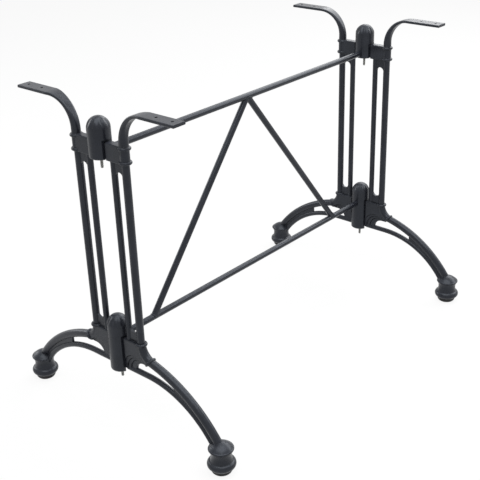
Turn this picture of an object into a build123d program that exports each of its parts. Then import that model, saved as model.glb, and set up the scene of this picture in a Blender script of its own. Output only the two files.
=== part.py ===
from build123d import *
import math
import os

# Table frame: two trestle ends of cast legs, joined by a stretcher of round tubes.
# X runs along the stretcher, Y across it, Z up. The floor is z = 0, and the origin lies midway.

# Overall sizes
height = 716
hub_spacing = 886
foot_reach = 276
pad_reach = 214

# Uprights of a leg casting
outer_upright_y = 67
inner_upright_y = 34
outer_upright_d = 16
inner_upright_d = 13
upright_web = 6
web_round = 10
upper_web_drop = 19
lower_web_rise = 21

# Hubs: bullets with a round dome, side flats facing the wings and petal flutes round the dome
hub_d = 46.5
hub_flat = 19.6
hub_edge = 4
upper_hub_length = 82
lower_hub_length = 128.5
lower_hub_bottom = 136
hub_lift = 0.5
flute_count = 12
flute_r = 14
flute_bend = 38
flute_depth = 1
flute_tilt = 32
flute_sweep = 60

# Wings of a leg casting, which end a little short of the hub's flats and go on to them as a thinner neck
wing_thickness = 18
wing_edge = 2.5
wing_gap = 3.9
neck_thickness = 14
neck_gap = 0.3
upper_wing_height = 36
lower_wing_top = 218

# Tongues that reach from the wings into the hub's slot, one above the other on the stud
tongue_thickness = 12
tongue_gap = 0.3
upper_tongue_height = 12
lower_tongue_height = 32
upper_tongue_drop = 1
lower_tongue_drop = 8

# Studs, washers and nuts, metric six
stud_d = 6
stud_hole_gap = 0.3
stud_grip = 16
stud_drop = 22
stud_chamfer = 0.8
washer_d = 12
washer_thickness = 1.6
nut_flats = 10
nut_height = 5

# Collar with two beads on the outer upright, and the single bead at the lower wing's top
collar_d = 20
bead_r = 3.5
lower_bead_d = 19
lower_bead_drop = 1
bead_inset = 4

# Arm that bends outward from the collar and flattens into a drilled pad
arm_base = 19
arm_bend = 62
arm_straight = 8
arm_sections = 6
pad_width = 32
pad_thickness = 6
pad_edge = 2
pad_hole_d = 6
pad_hole_inset = 16
pad_hole_spacing = 40
pad_hole_count = 2
arm_flat = 0.2

# Leg arch: an upper and a lower rod, a web between them, and an open slot near the hub
upper_rod_d = 18
upper_rod_bend = 300
lower_rod_d = 12.5
lower_rod_rise = 9.5
lower_rod_straight = 82
leg_web = 6
slot_end = 157

# Horn that bends from the outer upright to the root of the upper rod, and the band at its end
horn_d = 19
band_y = 90
band_z = 182
band_tilt = 41
band_d = 26
band_bead = 6.5

# Stepped arch round the slot's inner end. The steps are circles that touch on the foot's side, with a
# round groove at the root of each.
arch_y = 72
arch_rise = 2.5
arch_r = 23.3
step_start = 7
step_width = 4.5
step_depth = 2
step_count = 3
step_groove = 1.3

# Turned foot: a round lower ring, a slim hollow neck and a thin saucer with a low dome
glide_height = 13
foot_base_d = 50
foot_ring_d = 59.5
foot_ring_height = 16.5
foot_neck_d = 43
foot_neck_height = 24.5
foot_lip = 2
foot_saucer_d = 53
foot_rim_height = 5
foot_rim_round = 2.2
foot_dome_height = 11
upper_rod_sink = 14
lower_rod_sink = 12
lower_rod_foot_z = 41

# Glides under the feet
glide_d = 44
glide_round = 8
glide_stem_d = 10
glide_stem_length = 15
glide_stem_gap = 0.2

# Stretcher tubes
tube_d = 14
tube_wall = 1.5
socket_depth = 10
socket_gap = 0.1
upper_rail_lift = 12
lower_rail_lift = 75
brace_spread = 327
brace_shift = -15

# Heights that follow from the sizes above
pad_middle = height - pad_thickness / 2
arm_start = pad_middle - arm_bend
upper_wing_top = arm_start - arm_straight
upper_wing_bottom = upper_wing_top - upper_wing_height
upper_hub_bottom = upper_wing_bottom + hub_lift
upper_slot_top = upper_wing_top - upper_tongue_drop
lower_slot_top = lower_wing_top - lower_tongue_drop
upper_rail_z = upper_hub_bottom + upper_rail_lift
lower_rail_z = lower_hub_bottom + lower_rail_lift
lower_rod_z = lower_hub_bottom + lower_rod_rise
arch_z = lower_rod_z + arch_rise
wing_end = hub_flat + wing_gap
neck_bottom = glide_height + foot_ring_height
neck_top = neck_bottom + foot_neck_height
rim_top = neck_top + foot_rim_height
foot_top = rim_top + foot_dome_height


def column(radius, bottom, top, y=0):
    """Upright round bar between two heights."""
    return Pos(0, y, (bottom + top) / 2) * Cylinder(radius, top - bottom)


def block(thickness, inner, outer, bottom, top):
    """Box centred on the leg's plane, from inner to outer in Y."""
    centre = Pos(0, (inner + outer) / 2, (bottom + top) / 2)
    return centre * Box(thickness, outer - inner, top - bottom)


def plate(outline, thickness):
    """Flat plate in the leg's plane, from an outline drawn in Y and Z."""
    return extrude(Plane.YZ * outline, amount=thickness / 2, both=True)


def bead(radius, y, z):
    """Half-round ring on an upright bar."""
    return Pos(0, y, z) * Torus(radius, bead_r)


def rod(path, diameter):
    """Round bar along a path drawn in Y and Z."""
    spine = Plane.YZ * path
    start = Plane(origin=spine @ 0, z_dir=spine % 0)
    return sweep(start * Circle(diameter / 2), path=spine)


def foot():
    """Turned foot: ring, neck and saucer in one, bored for the glide's stem."""
    base_edge = (foot_base_d / 2, glide_height)
    ring_side = (foot_ring_d / 2, (glide_height + neck_bottom) / 2)
    neck_start = (foot_neck_d / 2 + foot_lip, neck_bottom)
    neck_side = (foot_neck_d / 2, (neck_bottom + neck_top) / 2)
    rim_r = foot_saucer_d / 2 - foot_rim_round
    rim_side = (foot_saucer_d / 2, (neck_top + rim_top) / 2)
    outline = Line((0, glide_height), base_edge)
    outline += ThreePointArc(base_edge, ring_side, neck_start)
    outline += ThreePointArc(neck_start, neck_side, (rim_r, neck_top))
    outline += ThreePointArc((rim_r, neck_top), rim_side, (rim_r, rim_top))
    outline += TangentArc((0, foot_top), (rim_r, rim_top), tangent=(1, 0))
    outline += Line((0, foot_top), (0, glide_height))
    turned = revolve(Plane.XZ * make_face(outline), Axis.Z)
    stem_hole = column(glide_stem_d / 2 + glide_stem_gap, glide_height, glide_height + glide_stem_length)
    return Pos(0, foot_reach, 0) * (turned - stem_hole)


def leg_arch():
    """Two rods from the hub and the band down to the foot, with a web beyond the slot."""
    upper_start = (band_y, band_z)
    upper_end = (foot_reach, foot_top - upper_rod_sink)
    lower_start = (wing_end, lower_rod_z)
    lower_bend = (lower_rod_straight, lower_rod_z)
    lower_end = (foot_reach - lower_rod_sink, lower_rod_foot_z)
    upper_path = RadiusArc(upper_start, upper_end, upper_rod_bend)
    bend_path = TangentArc(lower_bend, lower_end, tangent=(1, 0))
    upper = rod(upper_path, upper_rod_d)
    lower = rod(Line(lower_start, lower_bend) + bend_path, lower_rod_d)
    border = upper_path + Line(upper_end, lower_end) + bend_path + Line(lower_bend, upper_start)
    web = plate(make_face(border), leg_web)
    web &= block(leg_web, slot_end, foot_reach, 0, lower_wing_top)
    return upper + web + lower


def arch_circle(growth):
    """Circle round the slot's inner end, grown toward the hub only."""
    return Pos(arch_y - growth, arch_z) * Circle(arch_r + growth)


def neck(bottom, top):
    """Thinner end of a wing that fills the gap to the hub's flat."""
    return block(neck_thickness, hub_flat + neck_gap, wing_end + wing_edge, bottom, top)


def lower_wing():
    """Wing plate between hub, uprights and leg, with a horn, its band and a stepped arch."""
    lean = math.radians(band_tilt)
    lip = (band_d - band_bead) / 2
    band_foot = (band_y - lip * math.sin(lean), band_z - lip * math.cos(lean))
    horn_top = (outer_upright_y, lower_wing_top)
    horn_path = TangentArc(horn_top, (band_y, band_z), tangent=(0, -1))
    outline = Polyline(horn_top, (wing_end, lower_wing_top), (wing_end, lower_rod_z),
                       (band_foot[0], lower_rod_z), band_foot, (band_y, band_z))
    wing = plate(make_face(outline + horn_path), wing_thickness)
    wing = fillet(wing.edges().filter_by(Axis.Y).sort_by(Axis.Z)[-2:], wing_edge)
    for step in range(step_count):
        growth = step_start + step * step_width
        recess = plate(arch_circle(growth), wing_thickness)
        kept = wing_thickness - 2 * step_depth * (step_count - step)
        wing -= recess - block(kept, 0, foot_reach, 0, height)
        groove = Rot(0, 90, 0) * Torus(arch_r + growth, step_groove)
        for face in (-kept / 2, kept / 2):
            wing -= Pos(face, arch_y - growth, arch_z) * groove
    opening = arch_circle(0) + Pos(foot_reach / 2 + arch_y, arch_z) * Rectangle(foot_reach, 2 * arch_r)
    wing -= plate(opening, wing_thickness)
    band_axis = Plane(origin=(0, band_y, band_z), z_dir=(0, math.cos(lean), -math.sin(lean)))
    band = band_axis * (Cylinder(lip, band_bead) + Torus(lip, band_bead / 2))
    return wing + neck(lower_rod_z, lower_wing_top - wing_edge) + rod(horn_path, horn_d) + band


def uprights():
    """Two round uprights with a small round-edged web between them at each end."""
    root = lower_wing_top - lower_web_rise
    outer = column(outer_upright_d / 2, root, arm_start, outer_upright_y)
    inner = column(inner_upright_d / 2, root, upper_wing_top - wing_edge, inner_upright_y)
    gap_inner = inner_upright_y + inner_upright_d / 2
    gap_outer = outer_upright_y - outer_upright_d / 2
    lower_round = lower_wing_top + lower_web_rise + web_round
    upper_round = upper_wing_bottom - upper_web_drop - web_round
    webs = block(upright_web, inner_upright_y, outer_upright_y, lower_wing_top - wing_edge, lower_round)
    webs += block(upright_web, inner_upright_y, outer_upright_y, upper_round, upper_wing_bottom)
    for z in (lower_round, upper_round):
        webs -= plate(Pos((gap_inner + gap_outer) / 2, z) * Circle(web_round), upright_web)
    ring = bead(lower_bead_d / 2, outer_upright_y, lower_wing_top - lower_bead_drop)
    return outer + inner + webs + ring


def upper_wing():
    """Block between the hub and the outer upright, with a two-bead collar."""
    wing = block(wing_thickness, wing_end, outer_upright_y, upper_wing_bottom, upper_wing_top)
    wing = fillet(wing.edges().filter_by(Axis.Y), wing_edge)
    wing += column(collar_d / 2, upper_wing_bottom, upper_wing_top, outer_upright_y)
    wing += bead(collar_d / 2, outer_upright_y, upper_wing_bottom + bead_inset)
    wing += bead(collar_d / 2, outer_upright_y, upper_wing_top - bead_inset)
    return wing + neck(upper_wing_bottom + wing_edge, upper_wing_top - wing_edge)


def arm():
    """Arm bent through a quarter turn, round at the collar and flat at the drilled pad."""
    bend_y = outer_upright_y + arm_bend
    sections = []
    for step in range(arm_sections + 1):
        share = step / arm_sections
        turn = math.pi * (1 - share / 2)
        origin = (0, bend_y + arm_bend * math.cos(turn), arm_start + arm_bend * math.sin(turn))
        cut = Plane(origin=origin, x_dir=(1, 0, 0), z_dir=(0, math.sin(turn), -math.cos(turn)))
        slimming = (1 - share) ** 2
        width = arm_base + share ** 3 * (pad_width - arm_base)
        thickness = pad_thickness + slimming * (arm_base - pad_thickness)
        corner = pad_edge + slimming * ((arm_base - arm_flat) / 2 - pad_edge)
        sections.append(cut * RectangleRounded(width, thickness, corner))
    bent = loft(sections)
    tip = Plane(origin=(0, bend_y, pad_middle), x_dir=(1, 0, 0), z_dir=(0, 1, 0))
    pad = extrude(tip * RectangleRounded(pad_width, pad_thickness, pad_edge), pad_reach - bend_y)
    for hole in range(pad_hole_count):
        y = pad_reach - pad_hole_inset - hole * pad_hole_spacing
        pad -= column(pad_hole_d / 2, height - pad_thickness, height, y)
    root = column(arm_base / 2, upper_wing_top - bead_inset, arm_start, outer_upright_y)
    return root + bent + pad


def tongue(top, tongue_height):
    """Tongue in the hub's slot, round about the stud's eye."""
    bottom = top - tongue_height
    body = block(tongue_thickness, 0, wing_end + wing_edge, bottom, top)
    body += column(tongue_thickness / 2, bottom, top)
    return body - column(stud_d / 2 + stud_hole_gap, bottom, top)


def leg(level):
    """One leg casting. Its tongues lie at the given level of each stack, 0 for the upper."""
    casting = foot() + leg_arch() + lower_wing() + uprights() + upper_wing() + arm()
    casting += tongue(upper_slot_top - level * upper_tongue_height, upper_tongue_height)
    casting += tongue(lower_slot_top - level * lower_tongue_height, lower_tongue_height)
    return casting


def flute(radius):
    """Cutter for one petal groove, bent so that the groove runs out at both ends."""
    ring = Torus(flute_bend + flute_r, flute_r, major_angle=flute_sweep, align=None)
    upright_ring = Rot(90, 0, 0) * Rot(0, 0, -flute_sweep / 2) * ring
    return Rot(0, -flute_tilt, 0) * Pos(radius - flute_depth - flute_bend, 0, 0) * upright_ring


def hub(bottom, length, flat_top, slot_top, rail_z):
    """Bullet hub with its tube socket on the +X side."""
    radius = hub_d / 2
    shoulder = bottom + length - radius
    outline = Line((0, bottom), (radius - hub_edge, bottom))
    outline += TangentArc((radius - hub_edge, bottom), (radius, bottom + hub_edge), tangent=(1, 0))
    outline += Line((radius, bottom + hub_edge), (radius, shoulder))
    outline += TangentArc((radius, shoulder), (0, shoulder + radius), tangent=(0, 1))
    outline += Line((0, shoulder + radius), (0, bottom))
    body = revolve(Plane.XZ * make_face(outline), Axis.Z)
    for turn in range(flute_count):
        body -= Pos(0, 0, shoulder) * Rot(0, 0, (turn + 0.5) * 360 / flute_count) * flute(radius)
    beside = block(hub_d, hub_flat, hub_d, bottom, flat_top)
    body -= beside + mirror(beside, Plane.XZ)
    slot_width = tongue_thickness + 2 * tongue_gap
    body -= block(slot_width, -radius, radius, bottom, slot_top)
    body -= column(stud_d / 2, slot_top, slot_top + stud_grip)
    socket = Cylinder(tube_d / 2 + socket_gap, socket_depth, align=(Align.CENTER, Align.CENTER, Align.MAX))
    body -= Pos(radius, 0, rail_z) * Rot(0, 90, 0) * socket
    return body


def stud(hub_bottom, slot_top):
    """Threaded stud from the hub's dome down past its bottom."""
    bar = column(stud_d / 2, hub_bottom - stud_drop, slot_top + stud_grip)
    return chamfer(bar.edges().sort_by(Axis.Z)[0], stud_chamfer)


def washer(top):
    """Plain washer on the stud."""
    ring = column(washer_d / 2, top - washer_thickness, top)
    return ring - column(stud_d / 2 + stud_hole_gap, top - washer_thickness, top)


def nut(top):
    """Hexagon nut on the stud."""
    bottom = top - nut_height
    hexagon = RegularPolygon(nut_flats / 2, 6, major_radius=False, rotation=30)
    return Pos(0, 0, bottom) * extrude(hexagon, nut_height) - column(stud_d / 2, bottom, top)


def glide():
    """Glide with a rounded base and a stem that seats in the foot."""
    rim_r = glide_d / 2
    base_r = rim_r - glide_round
    outline = Line((0, 0), (base_r, 0))
    outline += TangentArc((base_r, 0), (rim_r, glide_round), tangent=(1, 0))
    outline += Polyline((rim_r, glide_round), (rim_r, glide_height), (0, glide_height), (0, 0))
    base = revolve(Plane.XZ * make_face(outline), Axis.Z)
    return base + column(glide_stem_d / 2, glide_height, glide_height + glide_stem_length)


def tube(start, end):
    """Round tube between two points."""
    line = Line(start, end)
    cut = Plane(origin=line @ 0, z_dir=line % 0)
    return extrude(cut * (Circle(tube_d / 2) - Circle(tube_d / 2 - tube_wall)), line.length)


def rail(z):
    """Level tube from socket to socket."""
    end = (hub_spacing - hub_d) / 2 + socket_depth
    return tube((-end, 0, z), (end, 0, z))


def brace():
    """Slanted tube of the right half, coped to both rails and mitred at the middle."""
    end = (hub_spacing - hub_d) / 2
    slanted = tube((0, 0, upper_rail_z), (brace_spread, 0, lower_rail_z))
    for z in (upper_rail_z, lower_rail_z):
        slanted -= Pos(0, 0, z) * Rot(0, 90, 0) * Cylinder(tube_d / 2, 2 * end)
    half = Pos(end / 2, 0, (upper_rail_z + lower_rail_z) / 2)
    return slanted & half * Box(end, hub_d, upper_rail_z - lower_rail_z)


left = Pos(-hub_spacing / 2, 0, 0)
right = Pos(hub_spacing / 2, 0, 0)
turned = Rot(0, 0, 180)
shifted = Pos(brace_shift, 0, 0)
rear_leg = leg(0)
front_leg = mirror(leg(1), Plane.XZ)
upper_hub = hub(upper_hub_bottom, upper_hub_length, upper_wing_top + wing_gap, upper_slot_top, upper_rail_z)
lower_hub = hub(lower_hub_bottom, lower_hub_length, lower_wing_top + wing_gap, lower_slot_top, lower_rail_z)
right_brace = brace()

pieces = {
    "rail_upper": rail(upper_rail_z),
    "rail_lower": rail(lower_rail_z),
    "brace_right": shifted * right_brace,
    "brace_left": shifted * mirror(right_brace, Plane.YZ),
}
for end, place in (("left", left), ("right", right)):
    pieces["leg_" + end + "_rear"] = place * rear_leg
    pieces["leg_" + end + "_front"] = place * front_leg
    pieces["glide_" + end + "_rear"] = place * Pos(0, foot_reach, 0) * glide()
    pieces["glide_" + end + "_front"] = place * Pos(0, -foot_reach, 0) * glide()
    for level, casting, bottom, slot_top, tongues in (
        ("upper", upper_hub, upper_hub_bottom, upper_slot_top, 2 * upper_tongue_height),
        ("lower", lower_hub, lower_hub_bottom, lower_slot_top, 2 * lower_tongue_height),
    ):
        name = "_" + level + "_" + end
        washer_top = slot_top - tongues
        pieces["hub" + name] = place * (casting if end == "left" else turned * casting)
        pieces["stud" + name] = place * stud(bottom, slot_top)
        pieces["washer" + name] = place * washer(washer_top)
        pieces["nut" + name] = place * nut(washer_top - washer_thickness)

os.makedirs("parts", exist_ok=True)
for name, piece in pieces.items():
    export_step(piece, os.path.join("parts", name + ".step"))
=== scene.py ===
import math

import bmesh
import bpy
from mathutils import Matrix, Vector


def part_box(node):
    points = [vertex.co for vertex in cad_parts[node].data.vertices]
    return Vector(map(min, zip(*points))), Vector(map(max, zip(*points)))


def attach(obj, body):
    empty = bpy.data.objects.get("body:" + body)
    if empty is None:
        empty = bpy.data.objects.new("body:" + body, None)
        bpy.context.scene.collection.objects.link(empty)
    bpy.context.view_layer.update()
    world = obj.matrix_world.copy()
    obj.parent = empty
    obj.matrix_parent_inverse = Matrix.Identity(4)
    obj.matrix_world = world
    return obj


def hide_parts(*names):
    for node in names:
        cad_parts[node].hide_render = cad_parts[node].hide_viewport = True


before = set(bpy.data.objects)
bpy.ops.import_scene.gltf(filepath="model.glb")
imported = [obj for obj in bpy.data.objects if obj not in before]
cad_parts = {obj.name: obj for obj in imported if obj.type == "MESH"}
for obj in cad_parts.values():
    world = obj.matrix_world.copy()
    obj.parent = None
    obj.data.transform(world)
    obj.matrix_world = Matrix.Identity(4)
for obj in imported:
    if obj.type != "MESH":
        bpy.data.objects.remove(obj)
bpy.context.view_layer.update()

# Leg and hub castings. Each leg is one iron casting from its turned foot to its drilled pad, and each hub
# is a smaller one. They are blasted and powder coated satin black, and the sand's grain shows through the
# coat. Sharp edges are lighter, partly thinner, worn coat and partly a painted highlight. What faces up is
# lighter and bluer, partly a little dust and partly a painted sheen of the light from above.


class Signal:
    """One output of a shader node. Signals add, subtract and multiply like numbers."""

    def __init__(self, tree, socket=None):
        self.tree = tree
        self.socket = socket

    def node(self, kind, settings, inputs, output=0):
        """Adds a node with its settings and inputs, and gives the signal of one of its outputs."""
        made = self.tree.nodes.new(kind)
        for name, value in settings.items():
            setattr(made, name, value)
        for name, value in inputs.items():
            if isinstance(value, Signal):
                self.tree.links.new(value.socket, made.inputs[name])
            else:
                made.inputs[name].default_value = value
        return Signal(self.tree, made.outputs[output] if made.outputs else None)

    def maths(self, operation, first, second):
        """A Math node on two signals, or on a signal and a number."""
        return self.node("ShaderNodeMath", {"operation": operation}, {0: first, 1: second})

    def __add__(self, other):
        return self.maths("ADD", self, other)

    def __radd__(self, other):
        return self.maths("ADD", other, self)

    def __sub__(self, other):
        return self.maths("SUBTRACT", self, other)

    def __rsub__(self, other):
        return self.maths("SUBTRACT", other, self)

    def __mul__(self, other):
        return self.maths("MULTIPLY", self, other)

    def __rmul__(self, other):
        return self.maths("MULTIPLY", other, self)

    def between(self, low, high):
        """Rises smoothly from 0 at low to 1 at high."""
        settings = {"interpolation_type": "SMOOTHSTEP", "clamp": True}
        return self.node("ShaderNodeMapRange", settings, {"Value": self, "From Min": low, "From Max": high})

    def blend(self, first, second):
        """Colour that goes from first to second as this signal goes from 0 to 1."""
        return self.node("ShaderNodeMix", {"data_type": "RGBA"}, {0: self, 6: first, 7: second}, 2)


def new_material(name):
    """An empty material and the start of its node tree."""
    material = bpy.data.materials.new(name)
    material.use_nodes = True
    material.node_tree.nodes.clear()
    return material, Signal(material.node_tree)


def on_object(start):
    """The place on the object, in metres."""
    return start.node("ShaderNodeTexCoord", {}, {}, "Object")


def close_material(start, inputs):
    """Ends a material in the shader that the inputs feed."""
    shader = start.node("ShaderNodeBsdfPrincipled", {}, inputs)
    start.node("ShaderNodeOutputMaterial", {}, {"Surface": shader})


def grain(place, size, detail, seed):
    """Even noise whose lumps are about that size in metres."""
    inputs = {"Vector": place, "W": seed, "Scale": 1 / size, "Detail": detail}
    return place.node("ShaderNodeTexNoise", {"noise_dimensions": "4D"}, inputs, "Fac")


def facing_up(start):
    """From 0 on walls and undersides to 1 on level tops."""
    normal = start.node("ShaderNodeNewGeometry", {}, {}, "Normal")
    return start.node("ShaderNodeSeparateXYZ", {}, {"Vector": normal}, "Z").between(0.35, 1.0)


def sharp_edge(start, width):
    """From 0 on broad faces to 1 along edges, within that width in metres."""
    rounded = start.node("ShaderNodeBevel", {"samples": 4}, {"Radius": width})
    face = start.node("ShaderNodeNewGeometry", {}, {}, "Normal")
    along = start.node("ShaderNodeVectorMath", {"operation": "DOT_PRODUCT"}, {0: rounded, 1: face}, "Value")
    return (1 - along).between(0.02, 0.25)


def dress(names, material):
    """Puts a material on the nodes whose names begin so."""
    for name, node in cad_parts.items():
        if name.startswith(names):
            node.data.materials.clear()
            node.data.materials.append(material)


sand_grain = 0.0016
casting_wave = 0.011
coat_patch = 0.033
coat_peel = 0.0007
coat_relief = 0.0004
edge_round = 0.0010
scuff_and_glint_width = 0.0012
scuff_and_glint_length = 0.006
scuff_and_glint_share = 0.5
dust_and_sheen_lump = 0.007
dust_and_sheen_share = 0.26
coat_black = (0.0113, 0.0121, 0.0162, 1)
coat_thin = (0.0174, 0.0186, 0.0244, 1)
# Light grey of sharp edges: worn, thinner coat, and partly a painted highlight along the edges.
edge_wear_and_glint_grey = (0.060, 0.062, 0.066, 1)
# Pale bluish grey of upward faces: a little dust, and a painted sheen of the light from above.
dust_and_sheen_grey = (0.080, 0.090, 0.112, 1)
coat_rough = 0.22
coat_gloss = 0.31
coat_sheen = (0.84, 0.91, 1.0, 1)

cast_coat, start = new_material("cast_coat")
place = on_object(start)
patches = grain(place, coat_patch, 4.0, 0.0).between(0.35, 0.75)
pits = grain(place, sand_grain, 3.0, 1.0)
waves = grain(place, casting_wave, 2.0, 2.0)
peel = grain(place, coat_peel, 1.0, 3.0)
# Sharp edges are painted lighter in patches: partly worn coat, partly a painted highlight along the edges.
scuffs_and_glints = sharp_edge(start, scuff_and_glint_width) * grain(place, scuff_and_glint_length, 3.0, 4.0).between(0.42, 0.68)
# Upward faces are painted lighter and bluer: partly a little dust, partly a painted sheen of the overhead
# light.
dust_and_sheen = facing_up(start) * grain(place, dust_and_sheen_lump, 3.0, 5.0).between(0.25, 0.80)
colour = patches.blend(coat_black, coat_thin)
colour = (scuffs_and_glints * scuff_and_glint_share).blend(colour, edge_wear_and_glint_grey)
colour = (dust_and_sheen * dust_and_sheen_share).blend(colour, dust_and_sheen_grey)
roughness = coat_rough + patches * 0.08 + pits * 0.08 + dust_and_sheen * 0.06 - scuffs_and_glints * 0.05
height = waves * 0.6 + pits * 0.5 + peel * 0.2
softened = start.node("ShaderNodeBevel", {"samples": 4}, {"Radius": edge_round})
relief = {"Strength": 0.4, "Distance": coat_relief, "Height": height, "Normal": softened}
bumped = start.node("ShaderNodeBump", {}, relief)
surface = {"Base Color": colour, "Roughness": roughness, "Normal": bumped}
surface.update({"Specular IOR Level": coat_gloss, "Specular Tint": coat_sheen})
close_material(start, surface)
dress(("leg", "hub"), cast_coat)

# Studs, washers and nuts. Each stud is zinc-plated rod held in the hub's dome, with a washer and a nut up
# inside the hub, and its free end shows below. The rolled thread is a helix of the coarse metric pitch.

thread_pitch = 0.001
thread_depth = 0.00061
thread_run = 0.036
thread_facets = 24
thread_chamfer = 0.0008
sharp_corner = math.radians(44)
crest_start = (0.0, 0)
crest_end = (0.125, 0)
root_start = (0.4375, 1)
root_end = (0.6875, 1)
zinc_light = (0.42, 0.42, 0.40, 1)
zinc_dull = (0.25, 0.25, 0.24, 1)
zinc_blotch = 0.0025
zinc_speck = 0.0006
zinc_relief = 0.00006
zinc_rough = 0.34
zinc_metal = 0.9

zinc_plate, start = new_material("zinc_plate")
place = on_object(start)
blotches = grain(place, zinc_blotch, 3.0, 0.0).between(0.3, 0.7)
specks = grain(place, zinc_speck, 2.0, 1.0)
colour = blotches.blend(zinc_light, zinc_dull)
roughness = zinc_rough + blotches * 0.16 + specks * 0.08
bumped = start.node("ShaderNodeBump", {}, {"Strength": 0.4, "Distance": zinc_relief, "Height": specks})
surface = {"Base Color": colour, "Roughness": roughness, "Metallic": zinc_metal, "Normal": bumped}
close_material(start, surface)
dress(("washer", "nut"), zinc_plate)


def shade_round(mesh):
    """Shades a mesh as round, apart from its sharp corners."""
    for face in mesh.faces:
        face.smooth = True
    for edge in mesh.edges:
        edge.smooth = edge.calc_face_angle(0.0) < sharp_corner


def cut_level(mesh, z, keep_above):
    """Trims a mesh at a height and gives the edges of the cut."""
    parts = mesh.verts[:] + mesh.edges[:] + mesh.faces[:]
    away = (0, 0, -1) if keep_above else (0, 0, 1)
    cut = bmesh.ops.bisect_plane(mesh, geom=parts, plane_co=(0, 0, z), plane_no=away, clear_outer=True)
    return [part for part in cut["geom_cut"] if isinstance(part, bmesh.types.BMEdge)]


def threaded_stud(name, low, high):
    """Round bar in its box, with a helical thread on its lower run that fades out into a plain shank."""
    middle = (Vector(low) + Vector(high)) / 2
    radius = (high[0] - low[0]) / 2
    profile = (crest_start, crest_end, root_start, root_end)
    mesh = bmesh.new()
    rings = []
    for turn in range(-1, round(thread_run / thread_pitch) + 1):
        for offset, share in profile:
            ring = []
            for step in range(thread_facets):
                rise = (turn + offset + step / thread_facets) * thread_pitch
                fade = min(1.0, max(0.0, (thread_run - rise) / thread_pitch - 0.5))
                r = radius - max(thread_depth * share * fade, thread_chamfer - max(rise, 0.0))
                angle = 2 * math.pi * step / thread_facets
                ring.append(mesh.verts.new((r * math.cos(angle), r * math.sin(angle), rise)))
            rings.append(ring)
    end = thread_facets - 1
    per_turn = len(profile)
    for index in range(len(rings) - 1):
        lower, upper = rings[index], rings[index + 1]
        for step in range(end):
            mesh.faces.new((lower[step], lower[step + 1], upper[step + 1], upper[step]))
        if index + per_turn + 1 < len(rings):
            lower_next, upper_next = rings[index + per_turn], rings[index + per_turn + 1]
            mesh.faces.new((lower[end], lower_next[0], upper_next[0], upper[end]))
    tip = cut_level(mesh, 0.0, True)
    bmesh.ops.contextual_create(mesh, geom=tip)
    shank = bmesh.ops.extrude_edge_only(mesh, edges=cut_level(mesh, thread_run - thread_pitch / 4, False))
    top = [part for part in shank["geom"] if isinstance(part, bmesh.types.BMVert)]
    for vert in top:
        vert.co.z = high[2] - low[2]
    bmesh.ops.contextual_create(mesh, geom=top)
    bmesh.ops.recalc_face_normals(mesh, faces=mesh.faces[:])
    bmesh.ops.translate(mesh, verts=mesh.verts[:], vec=(middle.x, middle.y, low[2]))
    shade_round(mesh)
    data = bpy.data.meshes.new(name)
    mesh.to_mesh(data)
    mesh.free()
    data.materials.append(zinc_plate)
    stud = bpy.data.objects.new(name, data)
    bpy.context.collection.objects.link(stud)
    return stud


for name in [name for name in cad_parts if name.startswith("stud")]:
    stud = threaded_stud("threaded_" + name, *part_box(name))
    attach(stud, "root")
    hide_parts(name)

# Stretcher tubes. Two level rails that plug into the hubs and two slanted braces, all drawn steel tube.
# They are coated like the castings but smoother, with faint marks of drawing along the tube.

draw_mark = 0.0009
draw_stretch = (0.02, 1.0, 0.25)
tube_patch = 0.045
tube_relief = 0.00004
tube_dust_and_sheen_share = 0.40
tube_rough = 0.22
tube_black = (0.0109, 0.0118, 0.0162, 1)
tube_thin = (0.0161, 0.0174, 0.0235, 1)

tube_coat, start = new_material("tube_coat")
place = on_object(start)
patches = grain(place, tube_patch, 3.0, 0.0).between(0.35, 0.75)
drawn = start.node("ShaderNodeMapping", {}, {"Vector": place, "Scale": draw_stretch})
marks = grain(drawn, draw_mark, 2.0, 1.0)
peel = grain(place, coat_peel, 1.0, 2.0)
# Upward faces of the tubes are painted lighter and bluer: partly dust, partly a painted sheen of the light
# from above.
dust_and_sheen = facing_up(start) * grain(place, dust_and_sheen_lump, 3.0, 3.0).between(0.25, 0.80)
colour = patches.blend(tube_black, tube_thin)
colour = (dust_and_sheen * tube_dust_and_sheen_share).blend(colour, dust_and_sheen_grey)
roughness = tube_rough + patches * 0.07 + marks * 0.08 + dust_and_sheen * 0.06
relief = {"Strength": 0.5, "Distance": tube_relief, "Height": marks * 0.4 + peel * 0.6}
bumped = start.node("ShaderNodeBump", {}, relief)
surface = {"Base Color": colour, "Roughness": roughness, "Normal": bumped}
surface.update({"Specular IOR Level": coat_gloss, "Specular Tint": coat_sheen})
close_material(start, surface)
dress(("rail", "brace"), tube_coat)

# Welds. Each brace is welded to the rails where its coped ends meet them, and the two braces are welded to
# each other under the upper rail. The beads lie in small overlapping ripples under the same coat, and the
# places of the joints repeat the part's own sizes.

weld_radius = 0.0016
weld_ripple = 0.0003
ripple_length = 0.0018
weld_facets = 10
weld_steps = 96
tube_radius = 0.007
brace_x = 0.327
apex = Vector((-0.015, 0, 0.6195))
lower_rail_z = 0.211


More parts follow.
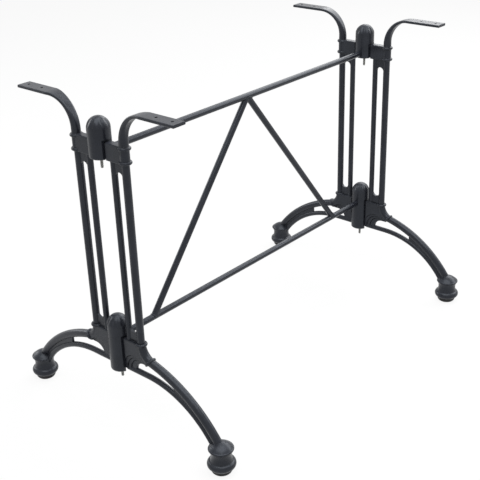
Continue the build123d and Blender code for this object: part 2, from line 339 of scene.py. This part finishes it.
def weld_bead(name, points, centre, closed):
    """Rippled round bead along the points of a joint. The centre lies inside the joint."""
    mesh = bmesh.new()
    rings = []
    run = 0.0
    for index, point in enumerate(points):
        before = points[index - 1] if closed or index else point
        after = points[(index + 1) % len(points)] if closed or index + 1 < len(points) else point
        along = (after - before).normalized()
        across = along.cross(point - centre).normalized()
        outward = across.cross(along)
        run += (point - before).length
        radius = weld_radius - weld_ripple * (1 - abs(math.sin(math.pi * run / ripple_length)))
        ring = []
        for step in range(weld_facets):
            angle = 2 * math.pi * step / weld_facets
            spoke = math.cos(angle) * outward + math.sin(angle) * across
            ring.append(mesh.verts.new(point + radius * spoke))
        rings.append(ring)
    if closed:
        rings.append(rings[0])
    else:
        mesh.faces.new(rings[0])
        mesh.faces.new(rings[-1])
    for first, second in zip(rings, rings[1:]):
        for step in range(weld_facets):
            following = (step + 1) % weld_facets
            mesh.faces.new((first[step], first[following], second[following], second[step]))
    bmesh.ops.recalc_face_normals(mesh, faces=mesh.faces[:])
    shade_round(mesh)
    data = bpy.data.meshes.new(name)
    mesh.to_mesh(data)
    mesh.free()
    data.materials.append(tube_coat)
    bead = bpy.data.objects.new(name, data)
    bpy.context.collection.objects.link(bead)
    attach(bead, "root")


def saddle(side, rail_z, above, first, last):
    """Points where a brace's skin meets a rail's skin, between two angles round the brace."""
    slope = Vector((side * brace_x, 0, lower_rail_z - apex.z)).normalized()
    normal = Vector((-side * slope.z, 0, side * slope.x))
    points = []
    for step in range(weld_steps + 1):
        angle = first + (last - first) * step / weld_steps
        ring = apex + tube_radius * (math.cos(angle) * Vector((0, 1, 0)) + math.sin(angle) * normal)
        level = rail_z + above * tube_radius * abs(math.sin(angle))
        points.append(ring + slope * (level - ring.z) / slope.z)
    return points


for side, name in ((-1, "left"), (1, "right")):
    foot = Vector((apex.x + side * brace_x, 0, lower_rail_z + tube_radius / 2))
    weld_bead("weld_foot_" + name, saddle(side, lower_rail_z, 1, 0, 2 * math.pi)[:-1], foot, True)
    weld_bead("weld_apex_" + name, saddle(side, apex.z, -1, 0, math.pi), apex, False)
seam_drop = tube_radius / math.sin(math.atan2(brace_x, apex.z - lower_rail_z))
seam = []
for step in range(weld_steps + 1):
    angle = math.pi * step / weld_steps
    seam.append(apex + Vector((0, tube_radius * math.cos(angle), -seam_drop * math.sin(angle))))
weld_bead("weld_seam", seam, apex, False)

# Glides. Turned plastic feet pressed into the castings by a stem, moulded black with a fine spark finish
# and rubbed lighter where they meet the floor.

plastic_black = (0.012, 0.012, 0.013, 1)
plastic_worn = (0.022, 0.022, 0.023, 1)
plastic_gloss = 0.28
worn_height = 0.004
worn_share = 0.8
worn_patch = 0.005
spark_grain = 0.0006
spark_relief = 0.00012
plastic_rough = 0.50

moulded, start = new_material("moulded_glide")
place = on_object(start)
level = start.node("ShaderNodeSeparateXYZ", {}, {"Vector": place}, "Z")
rubbed = (1 - level.between(0.0, worn_height)) * grain(place, worn_patch, 4.0, 0.0).between(0.35, 0.7)
spark = grain(place, spark_grain, 2.0, 1.0)
colour = (rubbed * worn_share).blend(plastic_black, plastic_worn)
roughness = plastic_rough + spark * 0.15 + rubbed * 0.1
bumped = start.node("ShaderNodeBump", {}, {"Strength": 0.5, "Distance": spark_relief, "Height": spark})
surface = {"Base Color": colour, "Roughness": roughness, "Normal": bumped}
surface.update({"Specular IOR Level": plastic_gloss})
close_material(start, surface)
dress("glide", moulded)

# Floor. A plain pale matt floor, wide enough to have no edge in sight. To the eye and in reflections it
# glows near white, and what is left of its matt face keeps the frame's soft shadow.

floor_reach = 80.0
floor_pale = (0.86, 0.86, 0.86, 1)
floor_glow = 0.9
white = (1, 1, 1, 1)


def in_sight(start):
    """1 to the eye, in reflections and through glass, and 0 for the light that falls on things."""
    eye = start.node("ShaderNodeLightPath", {}, {}, "Is Camera Ray")
    gloss = start.node("ShaderNodeLightPath", {}, {}, "Is Glossy Ray")
    glass = start.node("ShaderNodeLightPath", {}, {}, "Is Transmission Ray")
    return eye + gloss + glass


studio_floor, start = new_material("studio_floor")
matt = start.node("ShaderNodeBsdfDiffuse", {}, {"Color": floor_pale})
glow = start.node("ShaderNodeEmission", {}, {"Color": white, "Strength": 1.0})
mixed = start.node("ShaderNodeMixShader", {}, {0: in_sight(start) * floor_glow, 1: matt, 2: glow})
start.node("ShaderNodeOutputMaterial", {}, {"Surface": mixed})

bpy.ops.mesh.primitive_plane_add(size=2 * floor_reach)
floor = bpy.context.object
floor.name = "studio_floor"
floor.data.materials.append(studio_floor)

# Light. An even pale room that is white to the eye, and three soft lamps: a broad one overhead, a long one
# beyond the far end that draws the light along the rails, and a small one behind on the left.

room_light = 0.35

world = bpy.data.worlds.new("studio")
world.use_nodes = True
world.node_tree.nodes.clear()
start = Signal(world.node_tree)
dim = start.node("ShaderNodeBackground", {}, {"Color": white, "Strength": room_light})
bright = start.node("ShaderNodeBackground", {}, {"Color": white, "Strength": 1.0})
room = start.node("ShaderNodeMixShader", {}, {0: in_sight(start), 1: dim, 2: bright})
start.node("ShaderNodeOutputWorld", {}, {"Surface": room})
bpy.context.scene.world = world


def soft_lamp(name, place, aim, width, height, power):
    """Oblong area lamp that points at a spot."""
    lamp = bpy.data.lights.new(name, "AREA")
    lamp.shape = "RECTANGLE"
    lamp.size = width
    lamp.size_y = height
    lamp.energy = power
    holder = bpy.data.objects.new(name, lamp)
    holder.location = place
    holder.rotation_euler = (Vector(aim) - Vector(place)).to_track_quat("-Z", "Y").to_euler()
    bpy.context.collection.objects.link(holder)


soft_lamp("overhead_lamp", (-0.7, -0.6, 2.7), (-0.7, -0.6, 0), 2.6, 2.6, 64)
soft_lamp("back_lamp", (2.85, -0.6, 2.4), (0, -0.6, 0.4), 5.2, 2.0, 122)
soft_lamp("left_lamp", (-0.6, 2.8, 1.3), (0, 0, 0.4), 1.2, 1.2, 18)

# Camera. It stands at the photo's angle, a little above the frame and beyond its near front corner, with
# the small lean that the photo's uprights show.

camera_place = (-1.5382, -1.3148, 1.2334)
camera_turn = (64.383, 1.724, -49.286)
camera_lens = 70.99

lens = bpy.data.cameras.new("camera")
lens.sensor_width = 36
lens.lens = camera_lens
camera = bpy.data.objects.new("camera", lens)
camera.location = camera_place
camera.rotation_euler = [math.radians(angle) for angle in camera_turn]
bpy.context.collection.objects.link(camera)
bpy.context.scene.camera = camera
bpy.context.scene.view_settings.view_transform = "Standard"
